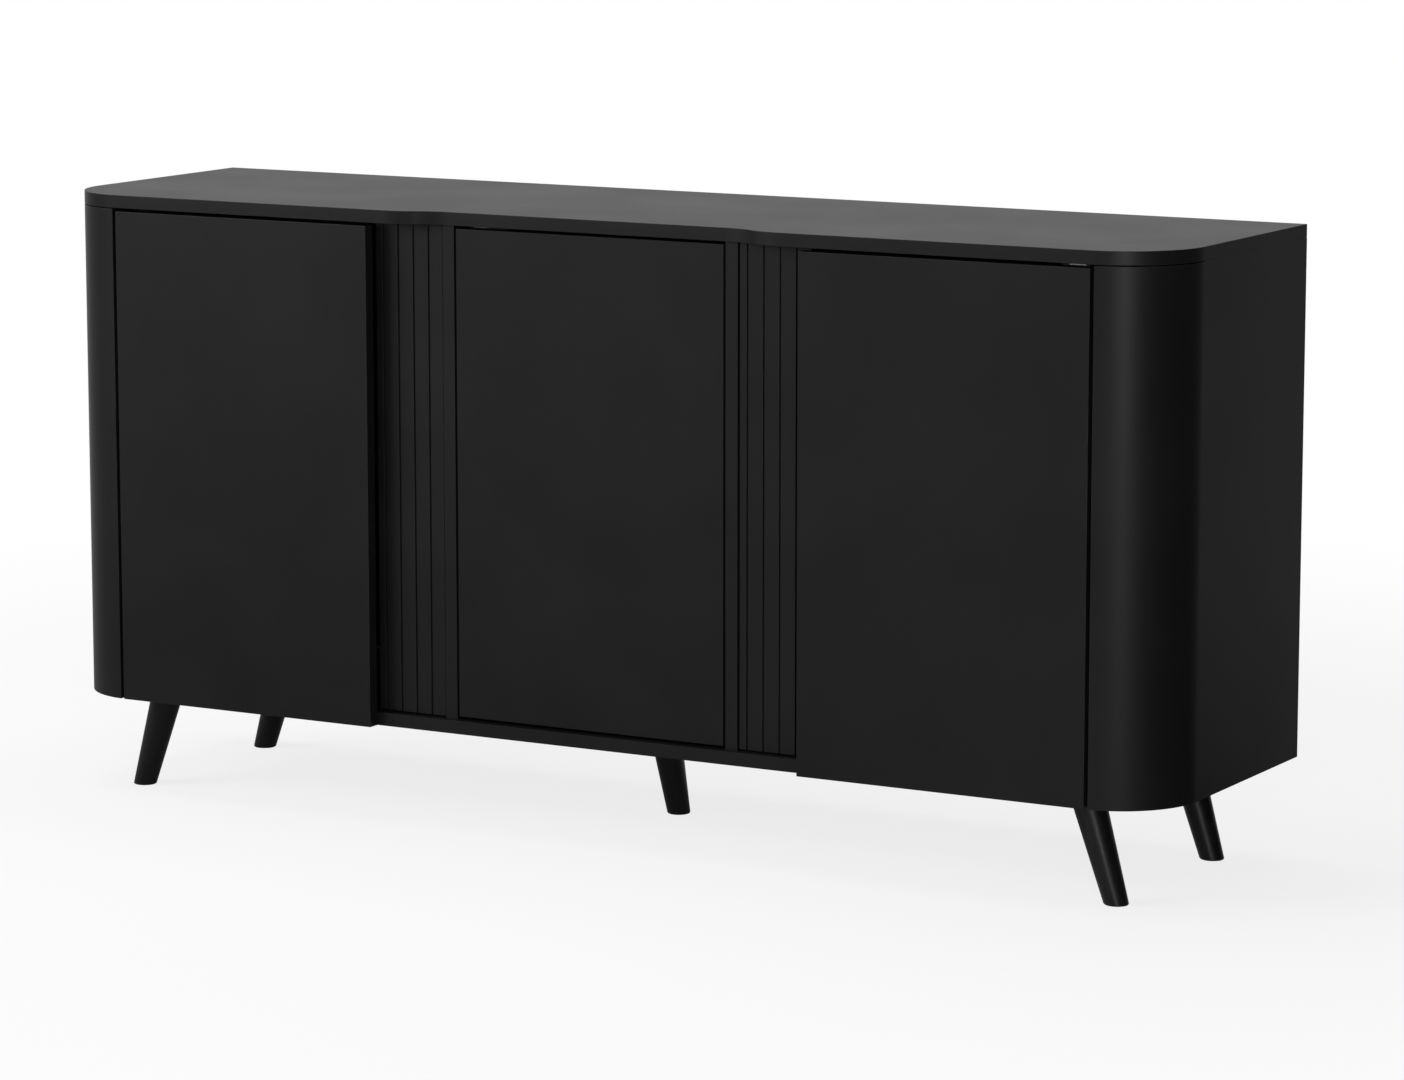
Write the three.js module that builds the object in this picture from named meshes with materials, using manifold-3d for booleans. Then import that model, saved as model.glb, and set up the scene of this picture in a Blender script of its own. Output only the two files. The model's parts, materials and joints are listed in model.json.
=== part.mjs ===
// Sideboard buffet: three doors, fluted infill panels, rounded corner posts and splayed legs.
// Millimetres. +X is right, -Y is the front, +Z is up. The origin is on the floor, under the centre.
import * as THREE from "three";
import { mergeVertices } from "three/addons/utils/BufferGeometryUtils.js";
import Module from "manifold-3d";

const wasm = await Module();
wasm.setup();

// ---- Driving dimensions ----
const WIDTH = 1508;
const DEPTH = 390;
const HEIGHT = 750;
const LEG_HEIGHT = 120;
const BOARD = 16; // top, bottom, sides, partitions, shelves and doors
const CORNER_RADIUS = 98; // outside of a corner post and of the top's front corners
const RECESS = 20; // how far the top's front edge steps back over the middle door
const SWEEP_START = 187.5; // from the centre line to where the recess starts to curve forward
const SWEEP_RUN = 80; // width of the S-curve between the recess and a wing

// doors and their gaps
const TOP_GAP = 4; // between a door's upper edge and the top
const POST_GAP = 4.5; // outer door to corner post
const MIDDLE_GAP = 3; // middle door to a partition
const MIDDLE_FOOT_GAP = 4; // middle door to the bottom panel
const DOOR_SEAT_GAP = 1; // outer door's back to the bottom panel's front edge
const MIDDLE_DOOR_WIDTH = 364;
const STILE_SETBACK = 6; // partition and middle door behind the recessed edge of the top
const POST_TOP_GROOVE = 1; // shadow groove between a corner post and the top

// fluted infill panels
const FLUTE_THICKNESS = 12;
const FLUTE_PITCH = 21.5;
const FLUTE_COUNT = 4; // grooves in one panel
const FLUTE_SETBACK = 2; // panel's face behind the partitions' front edges
const FLUTE_MARGINS = { left: 10.3, right: 19.3 }; // from a panel's ends to its end grooves
const FLUTE_WIDTH = 2.2;
const FLUTE_DEPTH = 3;
const FLUTE_SIDE_GAP = 1.7; // partition's face to the panel's end
const DOOR_LAP = 3.3; // outer door over the fluted panel's end
const FLUTE_FOOT_GAP = 2;
const FLUTE_HEAD_GAP = 1;
const BATTEN_DEPTH = 20; // batten behind a panel, fixed to the partition

// corner posts, back and shelves
const POST_WALL = 16;
const POST_FLAT = 8.5; // from the start of a post's curve to its inner face
const POST_FLANGE_DEPTH = 85; // from the front to the flange's rear end
const BACK_THICKNESS = 3;
const BACK_INSET = 3; // back panel in front of the rear edges
const FIT = 0.3; // loose fit of a piece that drops into place
const SHELF_SIDE_GAP = 1.5;
const SHELF_BACK_GAP = 3;
const OUTER_SHELF_SETBACK = 5; // behind the corner post's flange
const MIDDLE_SHELF_SETBACK = 45; // behind the middle door's front
const PIN_RADIUS = 2.5;
const PIN_REACH = 9; // how far a shelf pin stands out of its board
const PIN_FIT = 0.15;
const PIN_SEAT = 0.1;
const PIN_PITCH = 32; // height step of the holes for the shelf pins
const PIN_ROW_INSETS = { front: 45, rear: 55 }; // from the outer shelf's front and from the rear

// legs
const LEG_FOOT_RADIUS = 14.1;
const LEG_HEAD_RADIUS = 19.5;
const LEG_SPLAY = 37.3; // how far a foot stands out from its head
const LEG_SIDE_INSET = 117.3; // head of an outer leg, from the cabinet's side
const LEG_FRONT_INSET = 61.4; // and from its front or rear
const MIDDLE_LEG_Y = 8.5;
const LEG_PLATE_SIDE = 62;
const LEG_PLATE = 2.5;
const STUD_RADIUS = 4;
const STUD_LENGTH = 32;
const STUD_END_GAP = 2;

// concealed hinges: u runs outwards from the door's hinged edge, v runs back from the door's front
const ARM_PIN = { u: -39, v: BOARD + 5.8 };
const CUP_PIN = { u: -10.8, v: BOARD - 4.5 };
const LINK_BOW = { u: -18.6, v: BOARD - 5.8 }; // point that the swan-necked link passes through
const HINGE_PIN_RADIUS = 1.5;
const HINGE_PIN_FIT = 0.35;
const LINK_WIDTH = 14;
const LINK_WALL = 2;
const LINK_EYE = 2.9;
const CHEEK = 2; // side wall of the hinge arm
const CHEEK_GAP = 0.3;
const ARM_NOSE = 3.8;
const CUP_RADIUS = 17.5;
const CUP_WALL = 1.2;
const CUP_DEPTH = 11.6;
const CUP_EDGE = 5; // door edge to the cup
const CUP_RIM = 1;
const CUP_WING = 29; // half height of the cup's screw wings
const PLATE_SETBACK = 37; // front of the mounting plate behind the door's back
const PLATE_LENGTH = 22;
const PLATE_WALL = 2;
const PLATE_WING = 26;
const HINGE_END_GAP = 100; // hinge centre from the door's end

// catch and dampers under the top
const LIP = 2.4; // thickness of the lip over the door's upper edge
const LIP_SETBACK = 1.5; // lip behind the door's front, where it shows
const HOUSING_SETBACK = 3; // housing behind the door's back
const HOUSING_HEIGHT = 13;
const HOUSING_LENGTH = 58;
const PLUNGER_RADIUS = 3.2;
const PLUNGER_TIP = 0.3; // plunger's tip to the closed door
const CATCH = { from: 20, wide: 52, axis: 46 }; // push catch, from the middle door's free edge
const DAMPER = { from: 0.5, wide: 33.5, axis: 30 }; // damper, from the outer door's hinged edge

// ---- Derived places ----
const HALF = WIDTH / 2;
const FRONT = -DEPTH / 2;
const REAR = DEPTH / 2;
const UNDER_TOP = HEIGHT - BOARD;
const OVER_BOTTOM = LEG_HEIGHT + BOARD;
const CORNER_X = HALF - CORNER_RADIUS;
const CORNER_Y = FRONT + CORNER_RADIUS;
const SIDE_INNER = HALF - BOARD;
const STILE_FRONT = FRONT + RECESS + STILE_SETBACK;
const DOOR_HEAD = UNDER_TOP - TOP_GAP;
const MIDDLE_EDGE = MIDDLE_DOOR_WIDTH / 2;
const STILE_INNER = MIDDLE_EDGE + MIDDLE_GAP;
const STILE_OUTER = STILE_INNER + BOARD;
const FLUTE_INNER = STILE_OUTER + FLUTE_SIDE_GAP;
const FLUTE_SPAN = (FLUTE_COUNT - 1) * FLUTE_PITCH;
const FLUTE_OUTER = FLUTE_INNER + FLUTE_MARGINS.left + FLUTE_SPAN + FLUTE_MARGINS.right;
const DOOR_FREE_EDGE = FLUTE_OUTER - DOOR_LAP;
const POST_INNER = CORNER_X + POST_FLAT;
const DOOR_HINGE_EDGE = POST_INNER - POST_GAP;
const OUTER_DOOR_WIDTH = DOOR_HINGE_EDGE - DOOR_FREE_EDGE;
const FLANGE_OUTER = POST_INNER + POST_WALL;
const FLANGE_REAR = FRONT + POST_FLANGE_DEPTH;
const POST_INNER_RADIUS = CORNER_RADIUS - POST_WALL;
const BOTTOM_FRONT = FRONT + BOARD + DOOR_SEAT_GAP;
const BACK_FACE = REAR - BACK_INSET - BACK_THICKNESS;
const SHELF_UNDER = (OVER_BOTTOM + UNDER_TOP) / 2 - BOARD / 2;
const PIN_Z = SHELF_UNDER - PIN_RADIUS - PIN_SEAT;
const OUTER_SHELF_FRONT = FLANGE_REAR + OUTER_SHELF_SETBACK;
const PIN_ROWS_Y = [OUTER_SHELF_FRONT + PIN_ROW_INSETS.front, REAR - PIN_ROW_INSETS.rear];
const MIDDLE_DOOR_FOOT = OVER_BOTTOM + MIDDLE_FOOT_GAP;
const LEG_X = HALF - LEG_SIDE_INSET;
const LEG_Y = REAR - LEG_FRONT_INSET;

// ---- Materials ----
const finish = (color, roughness, metalness = 0) =>
  new THREE.MeshStandardMaterial({ color, roughness, metalness });
const BLACK_FOIL = finish(0x232323, 0.42);
const CARCASS_FOIL = finish(0x1e1e1e, 0.5);
const BACKBOARD = finish(0x2a2826, 0.75);
const LACQUERED_WOOD = finish(0x161616, 0.38);
const ZINC = finish(0x9a9c9e, 0.35, 1);
const STEEL = finish(0x55585a, 0.45, 1);
const BLACK_PLASTIC = finish(0x18191a, 0.55);

// ---- Geometry helpers ----
const box = (x0, x1, y0, y1, z0, z1) =>
  new THREE.BoxGeometry(x1 - x0, y1 - y0, z1 - z0).translate(
    (x0 + x1) / 2,
    (y0 + y1) / 2,
    (z0 + z1) / 2,
  );

// A flat outline in XY, raised from z0 to z1.
const board = (outline, z0, z1, curveSegments = 12) =>
  new THREE.ExtrudeGeometry(outline, {
    depth: z1 - z0,
    bevelEnabled: false,
    curveSegments,
  }).translate(0, 0, z0);

const polygon = (points) =>
  new THREE.Shape(points.map(([x, y]) => new THREE.Vector2(x, y)));

// A round bar from one point to another.
function bar(from, to, radius, sides = 16) {
  const a = new THREE.Vector3(...from);
  const along = new THREE.Vector3(...to).sub(a);
  const turn = new THREE.Quaternion().setFromUnitVectors(
    new THREE.Vector3(0, 1, 0),
    along.clone().normalize(),
  );
  return new THREE.CylinderGeometry(radius, radius, along.length(), sides)
    .applyQuaternion(turn)
    .translate(...a.addScaledVector(along, 0.5).toArray());
}

// A closed geometry as a manifold solid, and back.
function solid(geometry) {
  const bare = geometry.clone();
  bare.deleteAttribute("normal");
  bare.deleteAttribute("uv");
  const merged = mergeVertices(bare, 1e-4);
  return new wasm.Manifold(
    new wasm.Mesh({
      numProp: 3,
      vertProperties: merged.attributes.position.array,
      triVerts: new Uint32Array(merged.index.array),
    }),
  );
}

function fromSolid(made) {
  const mesh = made.getMesh();
  const geometry = new THREE.BufferGeometry();
  geometry.setAttribute("position", new THREE.BufferAttribute(mesh.vertProperties, 3));
  geometry.setIndex(new THREE.BufferAttribute(mesh.triVerts, 1));
  geometry.computeVertexNormals();
  return geometry;
}

const join = (...pieces) =>
  fromSolid(pieces.map(solid).reduce((sum, next) => sum.add(next)));

const cut = (piece, ...tools) =>
  fromSolid(tools.map(solid).reduce((rest, tool) => rest.subtract(tool), solid(piece)));

// ---- The assembly ----
const sideboard = new THREE.Group();

function place(name, geometry, material, at = [0, 0, 0], mirrored = false) {
  const mesh = new THREE.Mesh(geometry, material);
  mesh.name = name;
  mesh.position.set(...at);
  if (mirrored) {
    mesh.scale.x = -1;
    mesh.position.x *= -1;
  }
  sideboard.add(mesh);
  return mesh;
}

// The same piece on the right, as made, and on the left, mirrored.
function placePair(name, geometry, material, at) {
  place("right_" + name, geometry, material, at);
  place("left_" + name, geometry, material, at, true);
}

// Top: square rear corners, round front corners, and a recess that S-curves out to the wings.
function topPanel() {
  const rise = RECESS / 2;
  const run = SWEEP_RUN / 2;
  const radius = (run * run + rise * rise) / (2 * rise);
  const angle = Math.asin(run / radius);
  const recessed = FRONT + RECESS;
  const wing = SWEEP_START + SWEEP_RUN;
  const up = Math.PI / 2;
  const outline = new THREE.Shape();
  outline.moveTo(-HALF, REAR);
  outline.lineTo(-HALF, CORNER_Y);
  outline.absarc(-CORNER_X, CORNER_Y, CORNER_RADIUS, Math.PI, 1.5 * Math.PI, false);
  outline.lineTo(-wing, FRONT);
  outline.absarc(-wing, FRONT + radius, radius, -up, -up + angle, false);
  outline.absarc(-SWEEP_START, recessed - radius, radius, up + angle, up, true);
  outline.lineTo(SWEEP_START, recessed);
  outline.absarc(SWEEP_START, recessed - radius, radius, up, up - angle, true);
  outline.absarc(wing, FRONT + radius, radius, -up - angle, -up, false);
  outline.lineTo(CORNER_X, FRONT);
  outline.absarc(CORNER_X, CORNER_Y, CORNER_RADIUS, -up, 0, false);
  outline.lineTo(HALF, REAR);
  return board(outline, UNDER_TOP, HEIGHT, 14);
}

// Bottom: its front edge runs straight behind the outer doors, and it fills the corner posts.
function bottomPanel() {
  const radius = POST_INNER_RADIUS - FIT;
  const inner = FLANGE_OUTER + FIT;
  const start = -Math.acos((inner - CORNER_X) / radius);
  const flangeEnd = FLANGE_REAR + FIT;
  const outline = new THREE.Shape();
  outline.moveTo(-POST_INNER, BOTTOM_FRONT);
  outline.lineTo(POST_INNER, BOTTOM_FRONT);
  outline.lineTo(POST_INNER, flangeEnd);
  outline.lineTo(inner, flangeEnd);
  outline.absarc(CORNER_X, CORNER_Y, radius, start, 0, false);
  outline.lineTo(SIDE_INNER, CORNER_Y);
  outline.lineTo(SIDE_INNER, REAR);
  outline.lineTo(-SIDE_INNER, REAR);
  outline.lineTo(-SIDE_INNER, CORNER_Y);
  outline.absarc(-CORNER_X, CORNER_Y, radius, Math.PI, Math.PI - start, false);
  outline.lineTo(-inner, flangeEnd);
  outline.lineTo(-POST_INNER, flangeEnd);
  return board(outline, LEG_HEIGHT, OVER_BOTTOM, 12);
}

// Corner post: a quarter-round shell with a straight flange beside the outer door.
function cornerPost() {
  const outerStart = -Math.acos((POST_INNER - CORNER_X) / CORNER_RADIUS);
  const innerStart = -Math.acos((FLANGE_OUTER - CORNER_X) / POST_INNER_RADIUS);
  const outline = new THREE.Shape();
  outline.absarc(CORNER_X, CORNER_Y, CORNER_RADIUS, outerStart, 0, false);
  outline.absarc(CORNER_X, CORNER_Y, POST_INNER_RADIUS, 0, innerStart, true);
  outline.lineTo(FLANGE_OUTER, FLANGE_REAR);
  outline.lineTo(POST_INNER, FLANGE_REAR);
  return board(outline, LEG_HEIGHT, UNDER_TOP - POST_TOP_GROOVE, 20);
}

// Holes for shelf pins: two columns of three, right through or stopped in the board.
function pinHoles(x0, x1) {
  return PIN_ROWS_Y.flatMap((y) =>
    [-1, 0, 1].map((step) => {
      const z = PIN_Z + step * PIN_PITCH;
      return bar([x0, y, z], [x1, y, z], PIN_RADIUS + PIN_FIT, 12);
    }),
  );
}

const sidePanel = () =>
  cut(
    box(SIDE_INNER, HALF, CORNER_Y, REAR, LEG_HEIGHT, UNDER_TOP),
    ...pinHoles(SIDE_INNER - 1, SIDE_INNER + PIN_REACH + FIT),
  );

const partition = () =>
  cut(
    box(STILE_INNER, STILE_OUTER, STILE_FRONT, BACK_FACE, OVER_BOTTOM, UNDER_TOP),
    ...pinHoles(STILE_INNER - 1, STILE_OUTER + 1),
  );

// Fluted infill: slats between narrow grooves, and the batten glued behind its inner edge.
// The same grooved board serves on both sides, so its wider end slat is always the right one.
function flutedPanel(innerMargin) {
  const front = STILE_FRONT + FLUTE_SETBACK;
  const back = front + FLUTE_THICKNESS;
  const points = [[FLUTE_INNER, front]];
  for (let i = 0; i < FLUTE_COUNT; i++) {
    const centre = FLUTE_INNER + innerMargin + i * FLUTE_PITCH;
    const half = FLUTE_WIDTH / 2;
    points.push([centre - half, front]);
    points.push([centre - half, front + FLUTE_DEPTH]);
    points.push([centre + half, front + FLUTE_DEPTH]);
    points.push([centre + half, front]);
  }
  points.push([FLUTE_OUTER, front]);
  points.push([FLUTE_OUTER, back]);
  points.push([STILE_OUTER + BATTEN_DEPTH, back]);
  points.push([STILE_OUTER + BATTEN_DEPTH, back + BATTEN_DEPTH]);
  points.push([STILE_OUTER, back + BATTEN_DEPTH]);
  points.push([STILE_OUTER, back]);
  points.push([FLUTE_INNER, back]);
  return board(polygon(points), OVER_BOTTOM + FLUTE_FOOT_GAP, UNDER_TOP - FLUTE_HEAD_GAP);
}

const backPanel = () =>
  box(
    -SIDE_INNER + FIT,
    SIDE_INNER - FIT,
    BACK_FACE,
    BACK_FACE + BACK_THICKNESS,
    OVER_BOTTOM + FIT,
    UNDER_TOP - FIT,
  );

place("top_panel", topPanel(), BLACK_FOIL);
place("bottom_panel", bottomPanel(), CARCASS_FOIL);
placePair("corner_post", cornerPost(), BLACK_FOIL);
placePair("side_panel", sidePanel(), BLACK_FOIL);
placePair("partition", partition(), CARCASS_FOIL);
place("right_fluted_panel", flutedPanel(FLUTE_MARGINS.left), BLACK_FOIL);
place("left_fluted_panel", flutedPanel(FLUTE_MARGINS.right), BLACK_FOIL, [0, 0, 0], true);
place("back_panel", backPanel(), BACKBOARD);

// ---- Shelves and their pins ----
function shelf(x0, x1, front) {
  const z = SHELF_UNDER;
  return box(
    x0 + SHELF_SIDE_GAP,
    x1 - SHELF_SIDE_GAP,
    front,
    BACK_FACE - SHELF_BACK_GAP,
    z,
    z + BOARD,
  );
}

const middleShelfFront = STILE_FRONT + MIDDLE_SHELF_SETBACK;
placePair("shelf", shelf(STILE_OUTER, SIDE_INNER, OUTER_SHELF_FRONT), CARCASS_FOIL);
place("middle_shelf", shelf(-STILE_INNER, STILE_INNER, middleShelfFront), CARCASS_FOIL);

PIN_ROWS_Y.forEach((y, row) => {
  const where = ["front", "rear"][row];
  const pin = (inner, outer) =>
    bar([inner - PIN_REACH, y, PIN_Z], [outer + PIN_REACH, y, PIN_Z], PIN_RADIUS, 12);
  placePair("side_" + where + "_shelf_pin", pin(SIDE_INNER, SIDE_INNER), ZINC);
  placePair("partition_" + where + "_shelf_pin", pin(STILE_INNER, STILE_OUTER), ZINC);
});

// ---- Legs ----
// A round taper that leans along +X, cut level at both ends, with a bore for the stud.
function leg() {
  const height = LEG_HEIGHT - LEG_PLATE;
  const lean = Math.atan(LEG_SPLAY / LEG_HEIGHT);
  const rim = 1.6;
  const profile = [
    [0, 0],
    [LEG_FOOT_RADIUS - rim, 0],
    [LEG_FOOT_RADIUS - rim * 0.3, rim * 0.3],
    [LEG_FOOT_RADIUS, rim],
    [LEG_HEAD_RADIUS, height],
    [0, height],
  ].map(([r, z]) => new THREE.Vector2(r, z));
  const upright = new THREE.LatheGeometry(profile, 28).rotateX(Math.PI / 2);
  const boreFoot = height - STUD_LENGTH - STUD_END_GAP;
  const bore = bar([0, 0, boreFoot], [0, 0, height + 1], STUD_RADIUS + FIT, 12);
  return cut(upright, bore).applyMatrix4(leaning(lean));
}

// Leans an upright piece so that its head at full leg height stays and its foot moves along +X.
function leaning(lean) {
  const slope = LEG_SPLAY / LEG_HEIGHT;
  const wide = 1 / Math.cos(lean);
  return new THREE.Matrix4().set(
    wide, 0, -slope, slope * LEG_HEIGHT,
    0, 1, 0, 0,
    0, 0, 1, 0,
    0, 0, 0, 1,
  );
}

// Steel plate under the bottom panel, with the stud that the leg screws onto.
function legPlate() {
  const half = LEG_PLATE_SIDE / 2;
  const under = LEG_HEIGHT - LEG_PLATE;
  const lean = Math.atan(LEG_SPLAY / LEG_HEIGHT);
  const stud = bar([0, 0, under - STUD_LENGTH], [0, 0, under + 1], STUD_RADIUS, 12).applyMatrix4(
    leaning(lean),
  );
  const corner = 8;
  const plate = new THREE.Shape();
  plate.absarc(half - corner, half - corner, corner, 0, Math.PI / 2, false);
  plate.absarc(-half + corner, half - corner, corner, Math.PI / 2, Math.PI, false);
  plate.absarc(-half + corner, -half + corner, corner, Math.PI, 1.5 * Math.PI, false);
  plate.absarc(half - corner, -half + corner, corner, 1.5 * Math.PI, 2 * Math.PI, false);
  return join(board(plate, under, LEG_HEIGHT, 4), stud);
}

const LEG_PLACES = [
  { name: "front_right", at: [LEG_X, -LEG_Y], turn: 0 },
  { name: "rear_right", at: [LEG_X, LEG_Y], turn: 0 },
  { name: "front_left", at: [-LEG_X, -LEG_Y], turn: Math.PI },
  { name: "rear_left", at: [-LEG_X, LEG_Y], turn: Math.PI },
  { name: "middle", at: [0, MIDDLE_LEG_Y], turn: Math.PI / 2 },
];
for (const { name, at, turn } of LEG_PLACES) {
  place(name + "_leg", leg(), LACQUERED_WOOD, [...at, 0]).rotation.z = turn;
  place(name + "_leg_plate", legPlate(), STEEL, [...at, 0]).rotation.z = turn;
}

// ---- Doors ----
const outerDoorSpan = DOOR_HEAD - LEG_HEIGHT;
const middleDoorSpan = DOOR_HEAD - MIDDLE_DOOR_FOOT;
const CUP_CENTRE_U = -CUP_EDGE - CUP_RADIUS;

// Door in its own hinge frame: x is u, y is v, z from its foot, with a pocket for each cup.
function door(width, height) {
  const pockets = [HINGE_END_GAP, height - HINGE_END_GAP].map((z) =>
    bar(
      [CUP_CENTRE_U, BOARD - CUP_DEPTH - FIT, z],
      [CUP_CENTRE_U, BOARD + 1, z],
      CUP_RADIUS + FIT,
      32,
    ),
  );
  return cut(box(-width, 0, 0, BOARD, 0, height), ...pockets);
}

placePair("door", door(OUTER_DOOR_WIDTH, outerDoorSpan), BLACK_FOIL, [
  DOOR_HINGE_EDGE,
  FRONT,
  LEG_HEIGHT,
]);
place("middle_door", door(MIDDLE_DOOR_WIDTH, middleDoorSpan), BLACK_FOIL, [
  MIDDLE_EDGE,
  STILE_FRONT,
  MIDDLE_DOOR_FOOT,
]);

// ---- Concealed hinges, each in the frame of its door's hinged edge, centred on z = 0 ----
const ring = (pin, radius, half, sides) =>
  bar([pin.u, pin.v, -half], [pin.u, pin.v, half], radius, sides);

// Cup: a thin round pan with screw wings on the door's back, and the pin across it.
function hingeCup() {
  const u = CUP_CENTRE_U;
  const floor = BOARD - CUP_DEPTH;
  const mouth = BOARD + CUP_RIM;
  const outside = bar([u, floor, 0], [u, mouth, 0], CUP_RADIUS, 32);
  const inside = bar([u, floor + CUP_WALL, 0], [u, mouth + 1, 0], CUP_RADIUS - CUP_WALL, 32);
  const pan = cut(join(outside, cupRim()), inside);
  const offset = CUP_PIN.u - CUP_CENTRE_U;
  const reach = Math.sqrt((CUP_RADIUS - CUP_WALL / 2) ** 2 - offset ** 2) - HINGE_PIN_RADIUS / 2;
  return join(pan, ring(CUP_PIN, HINGE_PIN_RADIUS, reach, 12));
}

// Rim that lies on the door's back: narrow beside the door edge, with a wing above and below.
function cupRim() {
  const wingWide = 9;
  const bodyWide = CUP_RADIUS - 1;
  const shoulder = CUP_RADIUS + 2;
  const half = [
    [bodyWide, 0],
    [bodyWide, shoulder - 8],
    [wingWide, shoulder],
    [wingWide, CUP_WING - 4],
    [wingWide - 4, CUP_WING],
    [-wingWide + 4, CUP_WING],
    [-wingWide, CUP_WING - 4],
    [-wingWide, shoulder],
    [-bodyWide - 2, shoulder - 8],
    [-bodyWide - 2, 0],
  ];
  const lower = half.slice(1, -1).map(([x, z]) => [x, -z]);
  const outline = polygon([...half, ...lower.reverse()]);
  return board(outline, 0, CUP_RIM)
    .rotateX(Math.PI / 2)
    .translate(CUP_CENTRE_U, BOARD + CUP_RIM, 0);
}

// Link: a bowed strap from the arm's pin to the cup's pin, with an eye at each end.
function hingeLink() {
  const half = LINK_WIDTH / 2;
  const a = new THREE.Vector2(ARM_PIN.u, ARM_PIN.v);
  const b = new THREE.Vector2(CUP_PIN.u, CUP_PIN.v);
  const bow = new THREE.Vector2(LINK_BOW.u, LINK_BOW.v);
  const curve = new THREE.SplineCurve([b, bow, a]);
  const inner = [];
  const outer = [];
  for (const t of [0, 0.12, 0.25, 0.38, 0.5, 0.65, 0.8, 1]) {
    const point = curve.getPoint(t);
    const tangent = curve.getTangent(t);
    const normal = new THREE.Vector2(-tangent.y, tangent.x).multiplyScalar(LINK_WALL / 2);
    outer.push(point.clone().add(normal).toArray());
    inner.unshift(point.clone().sub(normal).toArray());
  }
  const strap = board(polygon([...outer, ...inner]), -half, half);
  const whole = join(strap, ring(ARM_PIN, LINK_EYE + 0.4, half, 16), ring(CUP_PIN, LINK_EYE, half, 16));
  const hole = HINGE_PIN_RADIUS + HINGE_PIN_FIT;
  return cut(whole, ring(ARM_PIN, hole, half + 1, 12), ring(CUP_PIN, hole, half + 1, 12));
}

// Arm and mounting plate: two cheeks crank out from the cabinet's face to the arm pin.
function hingeArm(gap) {
  const half = LINK_WIDTH / 2 + CHEEK_GAP + CHEEK;
  const inside = LINK_WIDTH / 2 + CHEEK_GAP;
  const face = gap - PLATE_WALL;
  const plateFront = BOARD + PLATE_SETBACK;
  const plateBack = plateFront + PLATE_LENGTH;
  const nose = polygon([
    [ARM_PIN.u - 1, ARM_PIN.v - 2],
    [ARM_PIN.u + 4, ARM_PIN.v - 1],
    [-20, ARM_PIN.v + 7],
    [-7, ARM_PIN.v + 17],
    [-5, plateFront],
    [face, plateFront],
    [face, plateBack],
    [-8, plateBack],
    [-11, ARM_PIN.v + 24],
    [-22, ARM_PIN.v + 13],
    [ARM_PIN.u, ARM_PIN.v + 3.6],
  ]);
  const arm = join(board(nose, -half, half), ring(ARM_PIN, ARM_NOSE, half, 16));
  const slot = board(
    polygon([
      [ARM_PIN.u - 8, ARM_PIN.v - 6],
      [ARM_PIN.u + 9, ARM_PIN.v - 6],
      [ARM_PIN.u + 12, ARM_PIN.v + 4],
      [-18, ARM_PIN.v + 11.5],
      [-22, ARM_PIN.v + 14.5],
      [ARM_PIN.u - 8, ARM_PIN.v + 6],
    ]),
    -inside,
    inside,
  );
  const base = box(face, gap, plateFront, plateBack, -PLATE_WING, PLATE_WING);
  const adjusters = [plateFront + 5, plateFront + 15].map((v) =>
    bar([-9, v, 0], [-2, v, 0], 3, 10),
  );
  return join(cut(arm, slot), ring(ARM_PIN, HINGE_PIN_RADIUS, half - 0.5, 12), base, ...adjusters);
}

function hingesOf(doorName, gap, edge, front, foot, height, mirrored) {
  const levels = { lower: foot + HINGE_END_GAP, upper: foot + height - HINGE_END_GAP };
  for (const [level, z] of Object.entries(levels)) {
    const name = doorName + "_" + level + "_hinge_";
    const at = [edge, front, z];
    place(name + "arm", hingeArm(gap), ZINC, at, mirrored);
    place(name + "link", hingeLink(), ZINC, at, mirrored);
    place(name + "cup", hingeCup(), ZINC, at, mirrored);
  }
}

hingesOf("right_door", POST_GAP, DOOR_HINGE_EDGE, FRONT, LEG_HEIGHT, outerDoorSpan, false);
hingesOf("left_door", POST_GAP, DOOR_HINGE_EDGE, FRONT, LEG_HEIGHT, outerDoorSpan, true);
hingesOf("middle_door", MIDDLE_GAP, MIDDLE_EDGE, STILE_FRONT, MIDDLE_DOOR_FOOT, middleDoorSpan, false);

// ---- Push catch and dampers, screwed under the top ----
// Housing in its door's frame: x from x0 to x1, y is v, z down from the top panel's underside.
// Its lip is a thin flange that runs forward to lipFront.
function housing(x0, x1, centre, lipFront) {
  const back = BOARD + HOUSING_SETBACK;
  const half = PLUNGER_RADIUS + 5;
  const lip = box(x0, x1, lipFront, back + HOUSING_LENGTH * 0.4, -LIP, 0);
  const body = box(centre - half, centre + half, back, back + HOUSING_LENGTH, -HOUSING_HEIGHT, 0);
  const bore = bar(
    [centre, back - 1, -HOUSING_HEIGHT / 2 - 1],
    [centre, back + HOUSING_LENGTH - 6, -HOUSING_HEIGHT / 2 - 1],
    PLUNGER_RADIUS + FIT,
    14,
  );
  return cut(join(lip, body), bore);
}

function plunger(centre) {
  const z = -HOUSING_HEIGHT / 2 - 1;
  return bar([centre, BOARD + PLUNGER_TIP, z], [centre, BOARD + 38, z], PLUNGER_RADIUS, 14);
}

const damperSpan = [-DAMPER.from - DAMPER.wide, -DAMPER.from];
const damperAt = [DOOR_HINGE_EDGE, FRONT, UNDER_TOP];
const shownLip = housing(...damperSpan, -DAMPER.axis, LIP_SETBACK);
const hiddenLip = housing(...damperSpan, -DAMPER.axis, BOARD + HOUSING_SETBACK);
place("right_damper_housing", shownLip, STEEL, damperAt);
place("left_damper_housing", hiddenLip, STEEL, damperAt, true);
placePair("damper_plunger", plunger(-DAMPER.axis), BLACK_PLASTIC, damperAt);

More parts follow.
